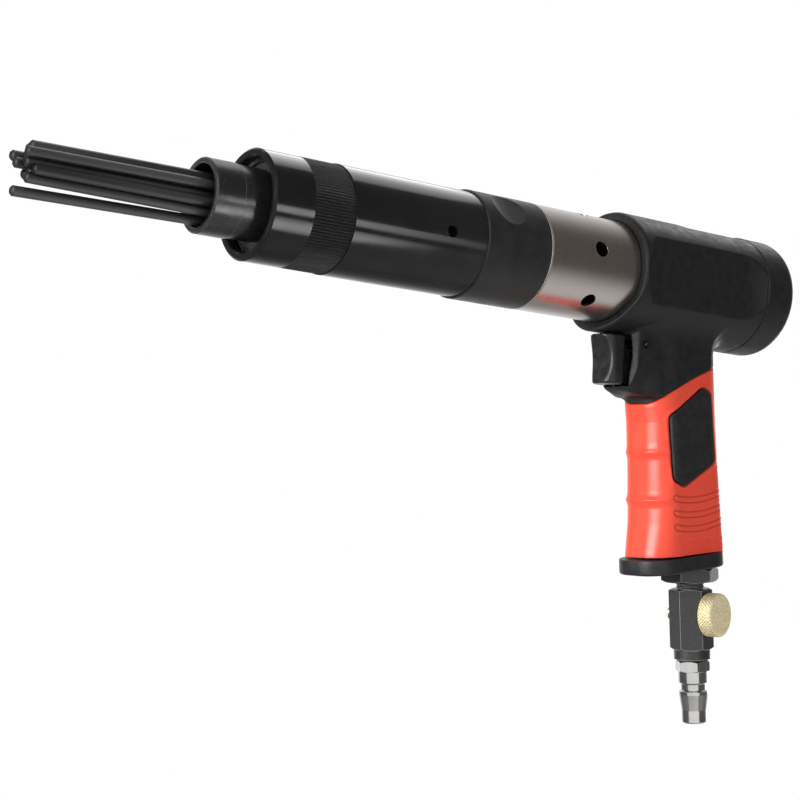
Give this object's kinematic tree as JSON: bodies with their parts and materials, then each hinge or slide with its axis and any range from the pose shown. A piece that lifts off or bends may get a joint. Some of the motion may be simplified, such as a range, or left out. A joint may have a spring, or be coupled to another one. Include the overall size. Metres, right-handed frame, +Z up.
{
  "type": "needle scaler",
  "caption": "Pneumatic needle scaler with a pistol grip: a bundle of needles in a long barrel, a pull trigger, and an air regulator and quick plug under the handle.",
  "frame": {"origin": "on the barrel axis, at the middle of the plain land of the front sleeve", "axes": "-X along the barrel towards the needle tips, +Z up, away from the handle, +Y to the side away from the regulator knob"},
  "size_m": [0.378, 0.055, 0.2294],
  "materials": {
    "needle_steel": "dark drawn steel",
    "inner_steel": "ground steel",
    "spring_steel": "wound wire",
    "nose_black": "blackened steel",
    "sleeve_black": "gloss black over steel",
    "coupling_grey": "dark satin over steel",
    "exhaust_steel": "bright bare steel",
    "housing_black": "fine black texture over cast aluminium",
    "cap_black": "fine black texture",
    "seal_rubber": "soft black",
    "trigger_black": "moulded satin black",
    "grip_red": "moulded satin red",
    "pad_black": "fine pebbled",
    "base_black": "moulded satin black",
    "fitting_black": "blackened steel",
    "knob_brass": "knurled and sandy",
    "throttle_brass": "turned",
    "plug_steel": "bright plated steel"
  },
  "bodies": {
    "tool": {"hammer_cylinder": "inner_steel", "valve_seat": "inner_steel", "valve_cover": "inner_steel", "valve_dowel": "inner_steel", "trigger_pin": "inner_steel", "inlet_screen": "inner_steel", "snap_ring": "inner_steel", "needle_spring": "spring_steel", "throttle_spring": "spring_steel", "nose_tube": "nose_black", "front_sleeve": "sleeve_black", "coupling_nut": "coupling_grey", "exhaust_sleeve": "exhaust_steel", "housing": "housing_black", "rear_cap": "cap_black", "buffer_ring": "seal_rubber", "cap_gasket": "seal_rubber", "throttle_seal": "seal_rubber", "plug_washer": "seal_rubber", "grip": "grip_red", "grip_pad_left": "pad_black", "grip_pad_right": "pad_black", "base_plate": "base_black", "inlet_bushing": "fitting_black", "regulator_body": "fitting_black", "throttle_bushing": "throttle_brass", "air_plug": "plug_steel"},
    "needle_set": {"needles": "needle_steel", "needle_holder": "inner_steel", "anvil": "inner_steel"},
    "hammer": {"piston": "inner_steel"},
    "valve": {"valve_disc": "inner_steel"},
    "trigger": {"trigger": "trigger_black"},
    "throttle": {"throttle_stem": "inner_steel"},
    "regulator": {"regulator_knob": "knob_brass", "regulator_stem": "knob_brass", "regulator_clip": "spring_steel"}
  },
  "joints": [
    {"name": "needle_drive", "type": "slide", "parent": "tool", "child": "needle_set", "axis": [-1, 0, 0], "range_m": [0, 0.01], "stiffness_N_per_m": 3000, "springref_m": -0.005, "deforming": ["needle_spring"]},
    {"name": "hammer_stroke", "type": "slide", "parent": "tool", "child": "hammer", "axis": [-1, 0, 0], "range_m": [0, 0.037]},
    {"name": "valve_flutter", "type": "slide", "parent": "tool", "child": "valve", "axis": [-1, 0, 0], "range_m": [0, 0.0007]},
    {"name": "trigger_pull", "type": "slide", "parent": "tool", "child": "trigger", "axis": [1, 0, 0], "range_m": [0, 0.006], "stiffness_N_per_m": 800, "springref_m": -0.004},
    {"name": "throttle_push", "type": "slide", "parent": "tool", "child": "throttle", "axis": [1, 0, 0], "range_m": [0, 0.006], "deforming": ["throttle_spring"]},
    {"name": "regulator_turn", "type": "hinge", "parent": "tool", "child": "regulator", "pos_m": [0.1818, 0, -0.15134], "axis": [0.2572, -0.9659, 0.0293], "range_deg": [0, 90]}
  ],
  "couplings": [
    {"joint": "throttle_push", "follows": "trigger_pull", "ratio": 1}
  ]
}
